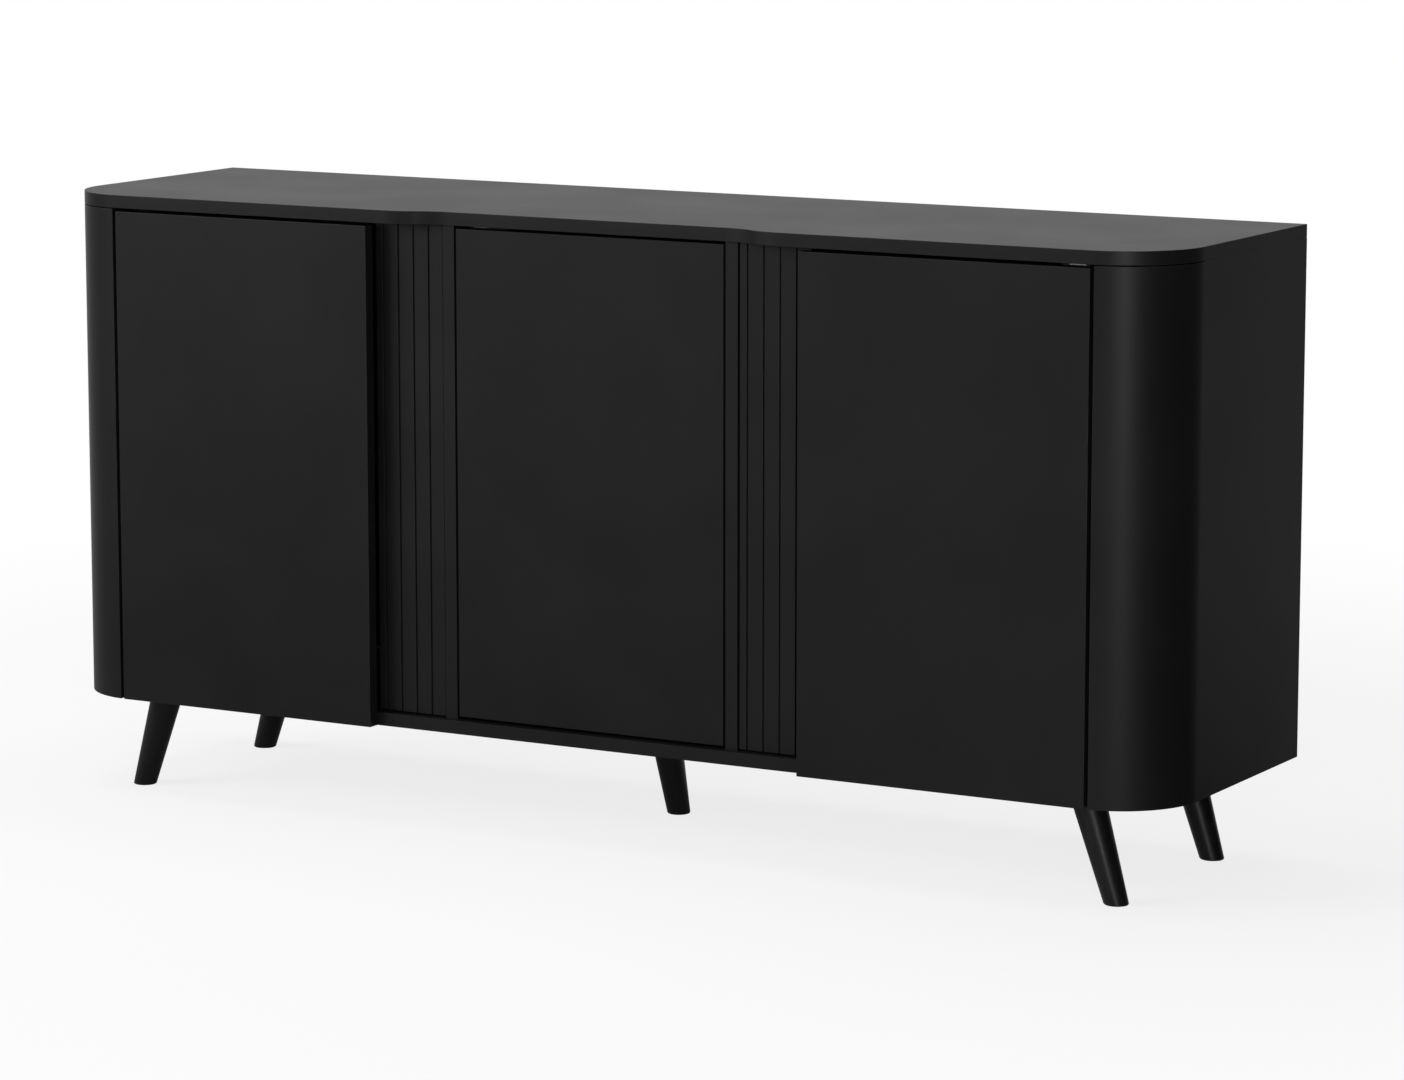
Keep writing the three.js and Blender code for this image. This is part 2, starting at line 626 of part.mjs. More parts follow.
const catchSpan = [CATCH.from, CATCH.from + CATCH.wide];
const catchAt = [-MIDDLE_EDGE, STILE_FRONT, UNDER_TOP];
place("push_catch_housing", housing(...catchSpan, CATCH.axis, LIP_SETBACK), STEEL, catchAt);
place("push_catch_plunger", plunger(CATCH.axis), BLACK_PLASTIC, catchAt);

export default sideboard;
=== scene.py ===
"""Looks of the sideboard buffet: black foil boards, lacquered legs and plated fittings in a white studio."""

import itertools
import json
import math

import bmesh
import bpy
from mathutils import Matrix, Vector


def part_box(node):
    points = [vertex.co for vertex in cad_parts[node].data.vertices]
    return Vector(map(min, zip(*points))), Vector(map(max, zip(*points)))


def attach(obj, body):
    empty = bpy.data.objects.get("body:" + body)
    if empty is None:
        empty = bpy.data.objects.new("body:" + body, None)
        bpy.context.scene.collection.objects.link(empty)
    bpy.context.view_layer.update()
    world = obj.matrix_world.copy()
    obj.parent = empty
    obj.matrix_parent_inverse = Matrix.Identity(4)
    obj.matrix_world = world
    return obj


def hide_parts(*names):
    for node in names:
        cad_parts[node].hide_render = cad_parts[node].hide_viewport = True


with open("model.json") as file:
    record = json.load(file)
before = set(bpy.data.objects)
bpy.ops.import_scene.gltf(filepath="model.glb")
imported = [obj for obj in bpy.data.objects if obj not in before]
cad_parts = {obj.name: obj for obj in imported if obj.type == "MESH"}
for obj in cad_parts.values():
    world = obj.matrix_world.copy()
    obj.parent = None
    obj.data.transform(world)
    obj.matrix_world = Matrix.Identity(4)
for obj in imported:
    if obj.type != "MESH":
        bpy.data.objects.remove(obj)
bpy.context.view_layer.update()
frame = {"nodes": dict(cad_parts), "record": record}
NODES = frame["nodes"]
BODY_OF = {node: body for body, nodes in frame["record"]["behaviour"]["bodies"].items() for node in nodes}
SLOT_OF = {part["node"]: part["material_slot"] for part in frame["record"]["subparts"]}
MM = 0.001
scene = bpy.context.scene


# ---- Camera ----
def place_camera():
    """A long lens, a little above the top, to the right of the front."""
    data = bpy.data.cameras.new("camera")
    data.lens = 130.83
    data.sensor_width = 36.0
    data.sensor_fit = "HORIZONTAL"
    data.clip_end = 200.0
    camera = bpy.data.objects.new("camera", data)
    camera.location = (3.0436, -5.2830, 1.3371)
    downward, turn = math.radians(9.232), math.radians(29.470)
    camera.rotation_euler = (math.pi / 2 - downward, 0.0, turn)
    scene.collection.objects.link(camera)
    scene.camera = camera


# ---- Shader expressions ----
class Socket:
    """A shader socket that takes part in Python expressions; each operator adds a Math node."""

    def __init__(self, tree, socket):
        self.tree = tree
        self.socket = socket

    def math(self, operation, *others):
        inputs = dict(enumerate((self, *others)))
        return self.tree.node("ShaderNodeMath", {"operation": operation}, inputs)

    def output(self, name):
        return Socket(self.tree, self.socket.node.outputs[name])

    def __add__(self, other):
        return self.math("ADD", other)

    def __mul__(self, other):
        return self.math("MULTIPLY", other)

    def __sub__(self, other):
        return self.math("SUBTRACT", other)

    def __rsub__(self, other):
        return self.tree.node("ShaderNodeMath", {"operation": "SUBTRACT"}, {0: other, 1: self})

    def __truediv__(self, other):
        return self.math("DIVIDE", other)

    def __pow__(self, other):
        return self.math("POWER", other)

    __radd__ = __add__
    __rmul__ = __mul__

    def clamped(self):
        return self.math("MINIMUM", 1.0).math("MAXIMUM", 0.0)

    def span(self, low, high):
        """0 at low, 1 at high, smooth between."""
        inputs = {"Value": self, "From Min": low, "From Max": high}
        return self.tree.node("ShaderNodeMapRange", {"interpolation_type": "SMOOTHSTEP"}, inputs)

    def between(self, low, high):
        """low where this is 0, high where it is 1."""
        return self * (high - low) + low


class Tree:
    """A node tree that is filled by calls to node()."""

    def __init__(self, node_tree):
        self.tree = node_tree
        self.tree.nodes.clear()

    def node(self, kind, settings=None, inputs=None, output=0):
        made = self.tree.nodes.new(kind)
        for key, value in (settings or {}).items():
            setattr(made, key, value)
        for key, value in (inputs or {}).items():
            if isinstance(value, Socket):
                self.tree.links.new(value.socket, made.inputs[key])
            else:
                made.inputs[key].default_value = value
        return Socket(self, made.outputs[output]) if len(made.outputs) else made

    def blend(self, share, low, high):
        """A colour between low and high."""
        inputs = {"Factor": share, 6: (*low, 1.0), 7: (*high, 1.0)}
        return self.node("ShaderNodeMix", {"data_type": "RGBA"}, inputs, output=2)

    def mix(self, share, color, other):
        """The colour, turned towards another one by share."""
        inputs = {"Factor": share, 6: color, 7: (*other, 1.0)}
        return self.node("ShaderNodeMix", {"data_type": "RGBA"}, inputs, output=2)

    def noise(self, where, scale, detail=2.0, roughness=0.5):
        inputs = {"Vector": where, "Scale": scale, "Detail": detail, "Roughness": roughness}
        return self.node("ShaderNodeTexNoise", {"noise_dimensions": "3D"}, inputs, output="Fac")

    def edge_wear_and_sheen(self, where):
        """1 in patches along the eased edges, 0 on the faces: where the foil shows rubbed wear and a painted
        highlight.
        """
        arris = self.node("ShaderNodeAttribute", {"attribute_name": "arris"}, output="Fac")
        return arris * self.noise(where, 38.0, 3.0).span(0.38, 0.62)

    def bump(self, height, strength, distance):
        inputs = {"Height": height, "Strength": strength, "Distance": distance}
        return self.node("ShaderNodeBump", None, inputs)

    def where(self, stretch=(1.0, 1.0, 1.0)):
        """The point in the object's own frame, in metres, stretched along each axis."""
        place = self.node("ShaderNodeTexCoord", output="Object")
        return self.node("ShaderNodeMapping", None, {"Vector": place, "Scale": stretch})


def new_material(name, build):
    material = bpy.data.materials.new(name)
    material.use_nodes = True
    tree = Tree(material.node_tree)
    surface = build(tree)
    tree.node("ShaderNodeOutputMaterial", None, {"Surface": surface})
    return material


def surface(tree, color, roughness, normal=None, metallic=0.0, **fixed):
    inputs = {"Base Color": color, "Roughness": roughness, "Metallic": metallic}
    if normal is not None:
        inputs["Normal"] = normal
    for name, value in fixed.items():
        inputs[name.replace("_", " ")] = value
    return tree.node("ShaderNodeBsdfPrincipled", None, inputs)


# ---- Finishes ----
FOIL_BLACK = (0.0052, 0.0052, 0.0053)
# Lighter foil tone for the clouding; doubled, it colours the eased edges as rubbed wear and a painted
# highlight.
FOIL_CLOUD_WEAR_AND_SHEEN = (0.0068, 0.0068, 0.0068)
FOIL_IOR = 1.2


def foil(name, dark, light, gloss, ior):
    """Satin foil on board: soft clouding, a fine pressed grain and a faint long ripple from the press."""

    def build(tree):
        spot = tree.where()
        cloud = tree.noise(spot, 7.0, 3.0)
        grain = tree.noise(spot, 900.0, 2.0, 0.6)
        pore = tree.noise(tree.where((2600.0, 2600.0, 900.0)), 1.0, 1.0)
        ripple = tree.noise(tree.where((14.0, 14.0, 3.0)), 1.0, 1.0)
        # Along the eased edges the colour is lifted to twice the light tone: rubbed wear and a painted
        # highlight.
        edge_wear_and_sheen = tree.edge_wear_and_sheen(spot)
        rubbed_and_highlight = tuple(channel * 2.0 for channel in light)
        color = tree.blend((cloud * 0.7 + grain * 0.3).span(0.3, 0.7), dark, light)
        color = tree.mix(edge_wear_and_sheen * 0.7, color, rubbed_and_highlight)
        rough = (cloud * 0.6 + grain * 0.4).span(0.3, 0.7).between(gloss - 0.02, gloss + 0.03) - edge_wear_and_sheen * 0.06
        height = grain * 0.5 + pore * 0.3 + ripple * 8.0
        return surface(tree, color, rough, tree.bump(height, 0.5, 0.00003), IOR=ior)

    return new_material(name, build)


def fibreboard(name):
    """Black printed hardboard: dull, with short fibres showing through."""

    def build(tree):
        fibre = tree.noise(tree.where((900.0, 900.0, 160.0)), 1.0, 3.0, 0.65)
        cloud = tree.noise(tree.where(), 11.0, 3.0)
        share = (fibre * 0.6 + cloud * 0.4).span(0.25, 0.75)
        color = tree.blend(share, (0.013, 0.012, 0.0115), (0.024, 0.022, 0.021))
        return surface(tree, color, fibre.between(0.62, 0.8), tree.bump(fibre, 0.6, 0.0001), IOR=1.4)

    return new_material(name, build)


def lacquer(name):
    """Satin black lacquer on turned wood: the grain shows as faint lines down the leg."""

    def build(tree):
        grain = tree.noise(tree.where((700.0, 700.0, 18.0)), 1.0, 3.0, 0.6)
        cloud = tree.noise(tree.where(), 30.0, 2.0)
        color = tree.blend(grain.span(0.35, 0.7), (0.0034, 0.0034, 0.0035), (0.0052, 0.0051, 0.0050))
        rough = (grain * 0.5 + cloud * 0.5).span(0.3, 0.7).between(0.3, 0.4)
        return surface(tree, color, rough, tree.bump(grain, 0.35, 0.00006), IOR=1.27)

    return new_material(name, build)


def plated(name, dark, light, gloss):
    """Pressed and plated steel: fine rolling lines and a slightly uneven plating."""

    def build(tree):
        lines = tree.noise(tree.where((260.0, 260.0, 2400.0)), 1.0, 2.0)
        cloud = tree.noise(tree.where(), 120.0, 3.0)
        color = tree.blend((lines * 0.5 + cloud * 0.5).span(0.3, 0.7), dark, light)
        rough = (lines * 0.5 + cloud * 0.5).span(0.25, 0.75).between(gloss - 0.05, gloss + 0.07)
        return surface(tree, color, rough, tree.bump(lines, 0.25, 0.00004), metallic=1.0)

    return new_material(name, build)


def plastic(name, tone, gloss, ior=1.5):
    """Moulded plastic with a fine spark-eroded texture."""

    def build(tree):
        grain = tree.noise(tree.where(), 1500.0, 2.0, 0.7)
        cloud = tree.noise(tree.where(), 60.0, 2.0)
        light = tuple(channel * 1.35 for channel in tone)
        color = tree.blend((grain * 0.5 + cloud * 0.5).span(0.3, 0.7), tone, light)
        rough = grain.between(gloss - 0.05, gloss + 0.08)
        return surface(tree, color, rough, tree.bump(grain, 0.4, 0.00005), IOR=ior)

    return new_material(name, build)


FINISHES = {
    "black_foil": foil("black_foil", FOIL_BLACK, FOIL_CLOUD_WEAR_AND_SHEEN, 0.40, FOIL_IOR),
    "carcass_foil": foil("carcass_foil", (0.0050, 0.0050, 0.0051), (0.0066, 0.0066, 0.0067), 0.46, FOIL_IOR),
    "backboard": fibreboard("backboard"),
    "leg_lacquer": lacquer("leg_lacquer"),
    "hinge_metal": plated("hinge_metal", (0.50, 0.50, 0.49), (0.62, 0.62, 0.61), 0.28),
    "leg_plate_steel": plated("leg_plate_steel", (0.26, 0.27, 0.28), (0.36, 0.37, 0.38), 0.40),
    "catch_metal": plated("catch_metal", (0.085, 0.085, 0.088), (0.125, 0.125, 0.128), 0.42),
    "black_plastic": plastic("black_plastic", (0.014, 0.014, 0.0145), 0.5),
}
EDGE_BAND = foil("edge_band", (0.0058, 0.0058, 0.0059), (0.0074, 0.0074, 0.0075), 0.37, FOIL_IOR)
# Housing plastic darker than the other black plastic: painted shade, so the housing bodies read as the shaded
# gap under the top panel.
HOUSING_PAINTED_SHADE = plastic("housing_painted_shade", (0.003, 0.003, 0.0031), 0.6, 1.12)


# ---- Sizes of the finish ----
STRIP_THICKNESS = 1.2 * MM  # plated strip on a catch or damper housing
STRIP_INSET = 5.0 * MM
STRIP_LENGTH = 20.0 * MM
LINK_PLAY = 0.06 * MM
SHARP = 28.0  # degrees between two faces from which their edge is eased
ROUND_METAL = 44.0  # the same for hinge metal: the facets of pins and eyes stay as they are
BANDED = ("door", "shelf", "partition", "bottom_panel", "side_panel")
GLIDE_RIM = 2.6 * MM
GLIDE_SEAT = 1.2 * MM
GLIDE_RADIUS = 9.5 * MM
SUNK = -0.4 * MM  # a fitting's foot, under the surface that it sits on
FLUTE_ARRIS = 0.4 * MM
ARRIS = {
    "black_foil": 0.7 * MM,
    "carcass_foil": 0.6 * MM,
    "backboard": 0.3 * MM,
    "leg_lacquer": 0.8 * MM,
    "hinge_metal": 0.25 * MM,
    "leg_plate_steel": 0.4 * MM,
    "catch_metal": 0.4 * MM,
    "black_plastic": 0.5 * MM,
}


# ---- Pieces ----
def add_piece(name, bm, body, slot, materials=None):
    """A shown piece from a bmesh, riding on its body."""
    for face in bm.faces:
        face.smooth = True
    mesh = bpy.data.meshes.new(name)
    bm.to_mesh(mesh)
    bm.free()
    for material in materials or [FINISHES[slot]]:
        mesh.materials.append(material)
    piece = bpy.data.objects.new(name, mesh)
    scene.collection.objects.link(piece)
    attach(piece, body)
    return piece


def even_normals(piece):
    """Flat faces stay flat beside their rounded edges."""
    modifier = piece.modifiers.new("even_normals", "WEIGHTED_NORMAL")
    modifier.keep_sharp = True
    modifier.weight = 100


def solid_of(node):
    """The CAD solid's surface, with its flat faces whole again."""
    bm = bmesh.new()
    bm.from_mesh(NODES[node].data)
    bmesh.ops.remove_doubles(bm, verts=bm.verts, dist=1e-6)
    bmesh.ops.dissolve_limit(bm, angle_limit=math.radians(0.5), verts=bm.verts, edges=bm.edges)
    return bm


def ease(bm, arris, sharp):
    """Rounds the sharp outward edges and marks the new narrow faces as arris."""
    mark = bm.faces.layers.float.new("arris")
    corner = math.radians(sharp)
    edges = [e for e in bm.edges if e.is_convex and e.calc_face_angle() > corner]
    shape = {"segments": 3, "profile": 0.5, "affect": "EDGES", "clamp_overlap": True}
    made = bmesh.ops.bevel(bm, geom=edges, offset=arris, **shape)
    for face in made["faces"]:
        face[mark] = 1.0


def band_edges(bm):
    """The narrow sides of a board take the second material, its edge band."""
    size = [max(v.co[k] for v in bm.verts) - min(v.co[k] for v in bm.verts) for k in range(3)]
    thin = size.index(min(size))
    for face in bm.faces:
        if abs(face.normal[thin]) < 0.5:
            face.material_index = 1


def slim(bm, depth):
    """Takes a thin skin off a piece, so that it keeps clear of its neighbours when it turns."""
    bm.normal_update()
    for vert in bm.verts:
        vert.co -= vert.normal * depth


def recess_foot(bm):
    """A shallow seat in the foot of a leg for its glide."""
    foot = min(bm.faces, key=lambda face: face.calc_center_median().z)
    bmesh.ops.inset_region(bm, faces=[foot], thickness=GLIDE_RIM, depth=0.0, use_even_offset=True)
    bmesh.ops.inset_region(bm, faces=[foot], thickness=0.2 * MM, depth=-GLIDE_SEAT, use_even_offset=True)


def paint_body(bm):
    """A catch or damper housing takes the second material, all round a thin plated strip at its outer end;
    that near-black plastic is painted shade of the gap under the top panel.
    """
    under = max(v.co.z for v in bm.verts) - STRIP_THICKNESS
    outer = max((v.co.x for v in bm.verts), key=abs)
    inward = -math.copysign(1.0, outer)
    left, right = sorted((outer + inward * STRIP_INSET, outer + inward * (STRIP_INSET + STRIP_LENGTH)))
    for spot, across in (((0, 0, under), (0, 0, 1)), ((left, 0, 0), (1, 0, 0)), ((right, 0, 0), (1, 0, 0))):
        bmesh.ops.bisect_plane(bm, geom=[*bm.verts, *bm.edges, *bm.faces], plane_co=spot, plane_no=across)
    for face in bm.faces:
        centre = face.calc_center_median()
        if centre.z < under or not left < centre.x < right:
            face.material_index = 1


def finish_node(node):
    """Shows a CAD node as a finished piece: the same solid with its arrises eased."""
    slot = SLOT_OF[node]
    bm = solid_of(node)
    if slot == "leg_lacquer":
        recess_foot(bm)
    if node.endswith("_link"):
        slim(bm, LINK_PLAY)
    arris = FLUTE_ARRIS if "fluted" in node else ARRIS[slot]
    ease(bm, arris, ROUND_METAL if slot == "hinge_metal" else SHARP)
    materials = [FINISHES[slot]]
    if node.endswith(BANDED):
        band_edges(bm)
        materials.append(EDGE_BAND)
    if node.endswith("_housing"):
        # The housing's body takes the near-black plastic, a painted shade of the gap under the top panel.
        paint_body(bm)
        materials.append(HOUSING_PAINTED_SHADE)
    piece = add_piece(node + "_finished", bm, BODY_OF[node], slot, materials)
    even_normals(piece)
    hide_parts(node)


# ---- Small fittings ----
DOWN = (0, 0, -1)
REARWARD = (0, 1, 0)
HINGE_PLATE = 2.0 * MM
CUP_SCREW_RISES = (-22.5 * MM, 22.5 * MM)
PLATE_SCREW_RISES = (-19 * MM, 19 * MM)
PLATE_SCREW_INSET = 11 * MM
FRONT_FITTING = -90 * MM
REAR_FITTING = 150 * MM
FITTING_INSET = 45 * MM
CAM_RISE = 34 * MM
PAD_INSET = 40 * MM


def facing(at, way):
    """Placement at a point, with the fitting's own Z along way."""
    return Matrix.Translation(at) @ Vector(way).to_track_quat("Z", "Y").to_matrix().to_4x4()


def ring_of(bm, place, radius, height, sides, turn=0.0):
    angles = [turn + 2 * math.pi * k / sides for k in range(sides)]
    points = [(radius * math.cos(angle), radius * math.sin(angle), height) for angle in angles]
    return [bm.verts.new(place @ Vector(point)) for point in points]


def spin(bm, place, outline, sides=24, turn=0.0):
    """A turned body from (radius, height) pairs, closed at the foot; returns its last ring."""
    rings = [ring_of(bm, place, radius, height, sides, turn) for radius, height in outline]
    bm.faces.new(reversed(rings[0]))
    for low, high in zip(rings, rings[1:]):
        for k in range(sides):
            after = (k + 1) % sides
            bm.faces.new((low[k], low[after], high[after], high[k]))
    return rings[-1]


def socket(bm, place, rim, points, height, depth):
    """Closes a ring of 2 n points with a socket whose outline has n points."""
    edge = [bm.verts.new(place @ Vector((x, y, height))) for x, y in points]
    floor = [bm.verts.new(place @ Vector((x * 0.8, y * 0.8, height - depth))) for x, y in points]
    count = len(points)
    for k in range(count):
        after = (k + 1) % count
        bm.faces.new((rim[2 * k], rim[2 * k + 1], edge[k]))
        bm.faces.new((rim[2 * k + 1], rim[2 * after], edge[after], edge[k]))
        bm.faces.new((edge[k], edge[after], floor[after], floor[k]))
    bm.faces.new(floor)


def pan_screw(bm, place, radius=3.6 * MM):
    """Pan head with a cross socket."""
    high = radius * 0.55
    top = radius * 0.78
    outline = [(radius, SUNK), (radius, high * 0.45), (radius * 0.93, high * 0.82), (top, high)]
    rim = spin(bm, place, outline, 24, math.radians(-15))
    long, wide = radius * 0.6, radius * 0.15
    arm = [(long, -wide), (long, wide), (wide, wide)]
    turns = [(1, 0), (0, 1), (-1, 0), (0, -1)]
    cross = [(c * x - s * y, s * x + c * y) for c, s in turns for x, y in arm]
    socket(bm, place, rim, cross, high, high * 0.7)


def hex_screw(bm, place, radius=4.8 * MM):
    """Flat connector head, nearly flush, with a hexagon socket."""
    high = 0.35 * MM
    rim = spin(bm, place, [(radius, SUNK), (radius, high * 0.4), (radius * 0.95, high)], 12)
    half = radius * 0.5
    angles = [k * math.pi / 3 for k in range(6)]
    six = [(half * math.cos(angle), half * math.sin(angle)) for angle in angles]
    socket(bm, place, rim, six, high, 2.0 * MM)


def cover_cap(bm, place, radius=8.6 * MM):
    """Press-in cap over a cam fitting: a low dome with a small dimple for the thumbnail."""
    outline = [(radius, SUNK), (radius, 0.35 * MM), (radius * 0.95, 0.6 * MM), (radius * 0.55, 0.85 * MM)]
    outline += [(radius * 0.2, 0.9 * MM), (radius * 0.14, 0.6 * MM)]
    bm.faces.new(spin(bm, place, outline, 28))


def nail(bm, place):
    """Flat wire nail, with its head pressed a little into the board."""
    outline = [(2.4 * MM, -0.3 * MM), (2.4 * MM, 0.25 * MM), (2.1 * MM, 0.45 * MM), (1.0 * MM, 0.55 * MM)]
    bm.faces.new(spin(bm, place, outline, 14))


def pad(bm, place):
    """Thin stick-on pad that the door closes against."""
    outline = [(4.2 * MM, 0.0), (4.2 * MM, 0.45 * MM), (3.9 * MM, 0.7 * MM), (3.2 * MM, 0.8 * MM)]
    bm.faces.new(spin(bm, place, outline, 20))


def glide(bm, place):
    """Round pad in the foot of a leg; its lower face is level with the floor."""
    radius = GLIDE_RADIUS
    outline = [(radius, SUNK - GLIDE_SEAT), (radius, -0.5 * MM), (radius - 0.4 * MM, -0.1 * MM)]
    bm.faces.new(spin(bm, place, outline, 28))


def fit(name, make, places, body, slot):
    """One piece that holds the same small fitting at several places."""
    bm = bmesh.new()
    for place in places:
        make(bm, place)
    bmesh.ops.recalc_face_normals(bm, faces=bm.faces)
    piece = add_piece(name, bm, body, slot)
    piece.data.set_sharp_from_angle(angle=math.radians(32))
    return piece


def fit_legs():
    """Four screws in each leg plate, from below, and a glide in each foot."""
    inset = 8.5 * MM
    screws, glides = [], []
    for leg in sorted(node for node in NODES if node.endswith("_leg")):
        low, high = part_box(leg + "_plate")
        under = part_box(leg)[1].z
        across, along = ((low[k] + inset, high[k] - inset) for k in (0, 1))
        screws += [facing((x, y, under), DOWN) for x, y in itertools.product(across, along)]
        foot = [v.co for v in NODES[leg].data.vertices if v.co.z < 0.1 * MM]
        middle = sum(foot, Vector()) / len(foot)
        glides.append(facing((middle.x, middle.y, 0.0), DOWN))
    fit("leg_plate_screws", pan_screw, screws, "cabinet", "leg_plate_steel")
    fit("leg_glides", glide, glides, "cabinet", "black_plastic")


def fit_hinges():
    """Screws in each cup's wings and in each mounting plate."""
    for door in ("right_door", "left_door", "middle_door"):
        inward = 1 if door == "left_door" else -1
        on_door, on_carcass = [], []
        for level in ("lower", "upper"):
            low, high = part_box(door + "_" + level + "_hinge_cup")
            middle = (low + high) / 2
            on_door += [facing((middle.x, high.y, middle.z + rise), REARWARD) for rise in CUP_SCREW_RISES]
            low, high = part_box(door + "_" + level + "_hinge_arm")
            plate = (low.x if inward > 0 else high.x) + inward * HINGE_PLATE
            depth = high.y - PLATE_SCREW_INSET
            centre = (low.z + high.z) / 2
            way = (inward, 0, 0)
            on_carcass += [facing((plate, depth, centre + rise), way) for rise in PLATE_SCREW_RISES]
        fit(door + "_cup_screws", pan_screw, on_door, door, "hinge_metal")
        fit(door + "_plate_screws", pan_screw, on_carcass, "cabinet", "hinge_metal")


def fit_carcass():
    """Connector heads under the bottom panel, and covers over the cam fittings inside."""
    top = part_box("top_panel")[0].z
    low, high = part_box("bottom_panel")
    floor, under = high.z, low.z
    heads, caps = [], []
    for side, outward in (("right", 1), ("left", -1)):
        for board, shown in (("partition", outward), ("side_panel", -outward)):
            low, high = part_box(side + "_" + board)
            centre = (low.x + high.x) / 2
            face = high.x if shown > 0 else low.x
            depths = (max(low.y, FRONT_FITTING) + FITTING_INSET, REAR_FITTING)
            heads += [facing((centre, y, under), DOWN) for y in depths]
            places = itertools.product(depths, (floor + CAM_RISE, top - CAM_RISE))
            caps += [facing((face, y, z), (shown, 0, 0)) for y, z in places]
    fit("connector_heads", hex_screw, heads, "cabinet", "hinge_metal")
    fit("cam_covers", cover_cap, caps, "cabinet", "black_plastic")


def fit_back():
    """Nails round the back board and a joint strip over each partition."""
    low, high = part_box("back_panel")
    partition = (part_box("right_partition")[0].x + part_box("right_partition")[1].x) / 2
    inset = 6 * MM
    columns, rows = 11, 5
    across = [low.x + inset + (high.x - low.x - 2 * inset) * k / (columns - 1) for k in range(columns)]
    along = [low.z + inset + (high.z - low.z - 2 * inset) * k / (rows - 1) for k in range(rows)]
    spots = [(x, z) for x in across for z in (along[0], along[-1])]
    spots += [(x, z) for x in (across[0], across[-1]) for z in along[1:-1]]
    fit("back_nails", nail, [facing((x, high.y, z), REARWARD) for x, z in spots], "cabinet", "hinge_metal")
    bm = bmesh.new()
    half, proud = 9 * MM, 1.3 * MM
    profile = [(-half, 0.0), (half, 0.0), (half, 0.4), (half * 0.8, 0.8), (half * 0.15, 0.8), (0.0, 0.55)]
    profile += [(-half * 0.15, 0.8), (-half * 0.8, 0.8), (-half, 0.4)]
    for middle in (-partition, partition):
        ends = [
            [bm.verts.new((middle + x, high.y + y * proud, z)) for x, y in profile]
            for z in (low.z + 14 * MM, high.z - 14 * MM)
        ]
        bm.faces.new(ends[0])
        bm.faces.new(ends[1])
        for k in range(len(profile)):
            after = (k + 1) % len(profile)
            bm.faces.new((ends[0][k], ends[0][after], ends[1][after], ends[1][k]))
    bmesh.ops.recalc_face_normals(bm, faces=bm.faces)
    strips = add_piece("back_joint_strips", bm, "cabinet", "black_plastic")
    strips.data.set_sharp_from_angle(angle=math.radians(20))


def fit_pads():
    """Two pads on the back of each outer door, where it meets the bottom panel's front edge."""
    low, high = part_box("bottom_panel")
    level = (low.z + high.z) / 2
    for door in ("right_door", "left_door"):
        low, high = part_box(door)
        places = [(x, high.y, level) for x in (low.x + PAD_INSET, high.x - PAD_INSET)]
        fit(door + "_pads", pad, [facing(at, REARWARD) for at in places], door, "black_plastic")


# ---- Studio ----
WHITE = (1.0, 1.0, 1.0, 1.0)
WALL_LIGHT = 0.25
REFLECTED_WHITE = 0.75
DARK_WALL = (0.966, 0.259)  # towards the studio's dark wall, at the right and a little behind
DIM_WALL = (-0.966, -0.259)  # towards a dimmer stretch of wall at the left


def towards_dark(x, y, run):
    """How dark the studio is that way: 1 at the dark wall, 0.5 at the dim one.

    run is the length of (x, y).
    """
    dark = ((x * DARK_WALL[0] + y * DARK_WALL[1]) / run).span(0.1, 0.9) * 0.97
    dim = ((x * DIM_WALL[0] + y * DIM_WALL[1]) / run).span(0.72, 0.98) * 0.5
    return dark + dim


def light_studio():
    """A white studio with a dark wall at the right; it sends only a dim, even light of its own."""
    world = bpy.data.worlds.new("studio")
    scene.world = world
    world.use_nodes = True
    tree = Tree(world.node_tree)
    camera_ray = tree.node("ShaderNodeLightPath", output="Is Camera Ray")
    glossy_ray = camera_ray.output("Is Glossy Ray")
    way = tree.node("ShaderNodeTexCoord", output="Generated")
    x = tree.node("ShaderNodeSeparateXYZ", None, {0: way}, output="X")
    dark = towards_dark(x, x.output("Y"), 1.0)
    bare = camera_ray + camera_ray.output("Is Transmission Ray")
    seen = (bare + glossy_ray * (1.0 - dark) * REFLECTED_WHITE).clamped()
    lit, unlit, white = (
        tree.node("ShaderNodeBackground", None, {"Color": WHITE, "Strength": strength})
        for strength in (WALL_LIGHT, WALL_LIGHT * 0.1, 1.0)
    )
    walls = tree.node("ShaderNodeMixShader", None, {0: dark, 1: lit, 2: unlit})
    shown = tree.node("ShaderNodeMixShader", None, {0: seen, 1: walls, 2: white})
    tree.node("ShaderNodeOutputWorld", None, {"Surface": shown})


def soft_box(name, at, aim, wide, high, watts):
    data = bpy.data.lights.new(name, "AREA")
    data.shape = "RECTANGLE"
    data.size = wide
    data.size_y = high
    data.energy = watts
    box = bpy.data.objects.new(name, data)
    box.location = at
    box.rotation_euler = (Vector(aim) - Vector(at)).to_track_quat("-Z", "Y").to_euler()
    box.visible_camera = False
    scene.collection.objects.link(box)


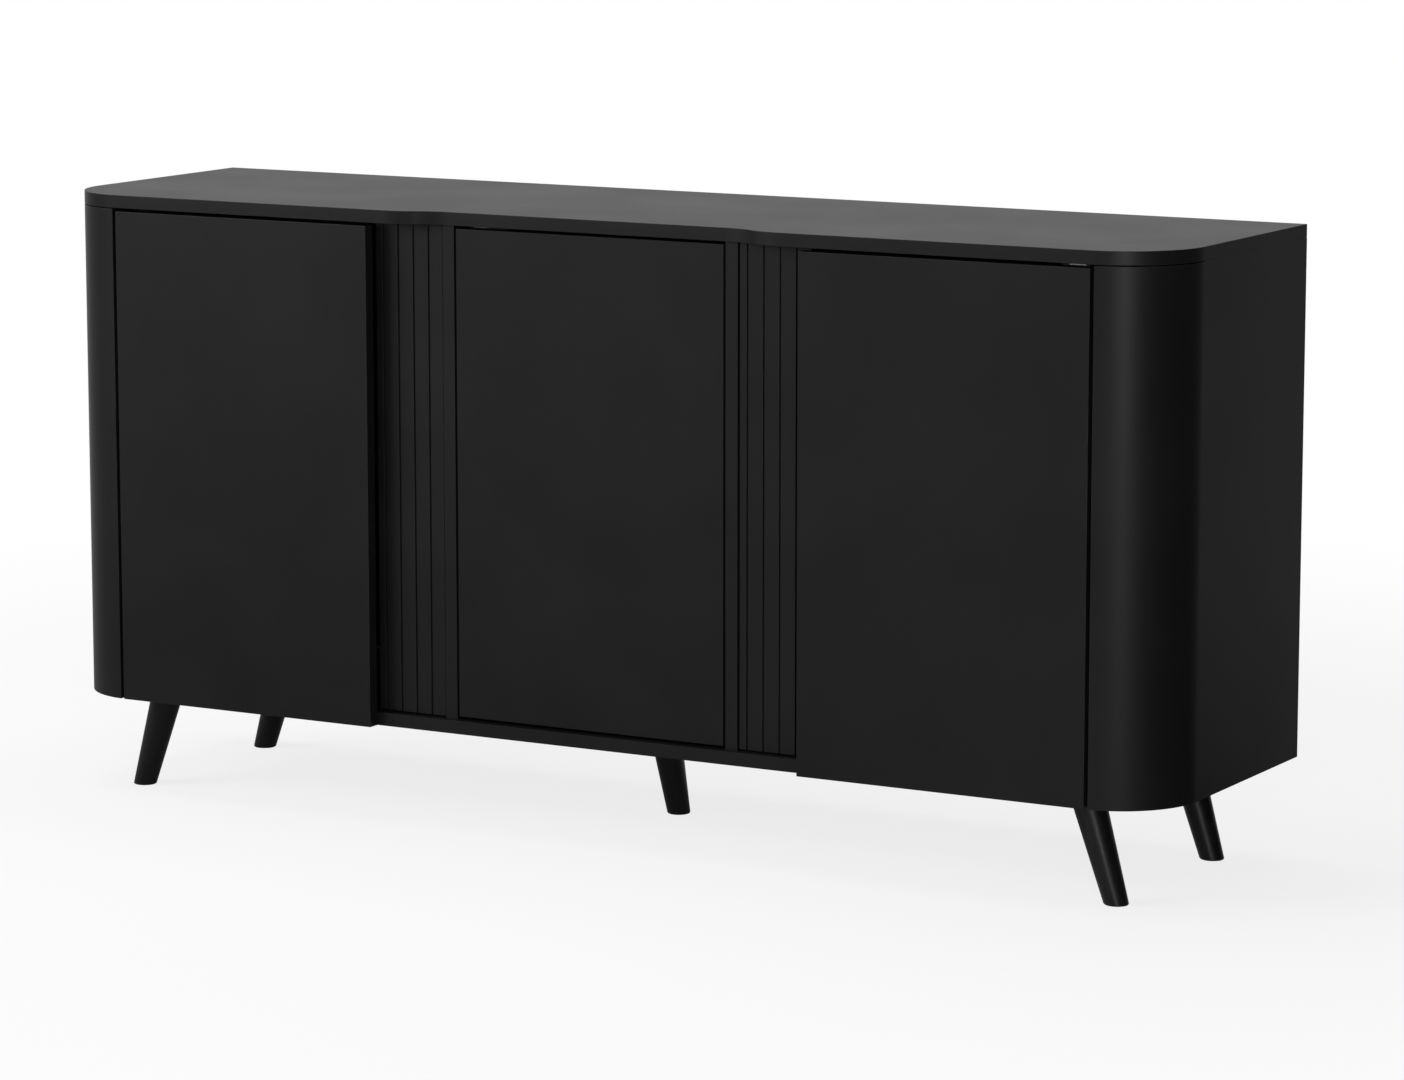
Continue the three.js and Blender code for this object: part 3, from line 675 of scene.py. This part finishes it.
def lay_floor():
    """A pale floor that runs out to white; towards the dark wall its reflection goes dark."""

    def build(tree):
        camera_ray = tree.node("ShaderNodeLightPath", output="Is Camera Ray")
        glossy_ray = camera_ray.output("Is Glossy Ray")
        spot = tree.where()
        x = tree.node("ShaderNodeSeparateXYZ", None, {0: spot}, output="X")
        y = x.output("Y")
        run = (x * x + y * y) ** 0.5
        far = run.span(0.9, 2.6)
        bare = (camera_ray + camera_ray.output("Is Transmission Ray")) * far.between(0.8, 1.0)
        seen = (bare + glossy_ray * far.between(0.3, 1.0) * REFLECTED_WHITE).clamped()
        pale = tree.blend(tree.noise(spot, 0.8), (0.86, 0.86, 0.86), (0.88, 0.88, 0.88))
        lit = surface(tree, pale, 1.0, Specular_IOR_Level=0.0)
        glow = tree.node("ShaderNodeEmission", None, {"Color": WHITE, "Strength": 1.0})
        shown = tree.node("ShaderNodeMixShader", None, {0: seen, 1: lit, 2: glow})
        black = tree.node("ShaderNodeBsdfDiffuse", None, {"Color": (0.02, 0.02, 0.02, 1.0)})
        beside = x - 0.7
        dim = glossy_ray * towards_dark(beside, y, (beside * beside + y * y) ** 0.5)
        above = tree.node("ShaderNodeMixShader", None, {0: dim, 1: shown, 2: black})
        below = tree.node("ShaderNodeNewGeometry", output="Backfacing")
        clear = tree.node("ShaderNodeBsdfTransparent")
        return tree.node("ShaderNodeMixShader", None, {0: below, 1: above, 2: clear})

    mesh = bpy.data.meshes.new("floor")
    far = 40.0
    mesh.from_pydata([(-far, -far, 0), (far, -far, 0), (far, far, 0), (-far, far, 0)], [], [(0, 1, 2, 3)])
    floor = bpy.data.objects.new("floor", mesh)
    scene.collection.objects.link(floor)
    mesh.materials.append(new_material("floor", build))


place_camera()
for name in sorted(NODES):
    finish_node(name)
fit_legs()
fit_hinges()
fit_carcass()
fit_back()
fit_pads()
light_studio()
lay_floor()
soft_box("key", (-3.6, -3.6, 2.2), (0.0, 0.0, 0.4), 3.0, 2.4, 190.0)
soft_box("overhead", (-0.4, 0.2, 3.6), (0.0, 0.0, 0.4), 2.8, 2.0, 55.0)
soft_box("near_camera", (2.45, -3.7, 0.95), (0.7, -0.1, 0.5), 0.6, 1.7, 72.0)
scene.view_settings.view_transform = "Standard"
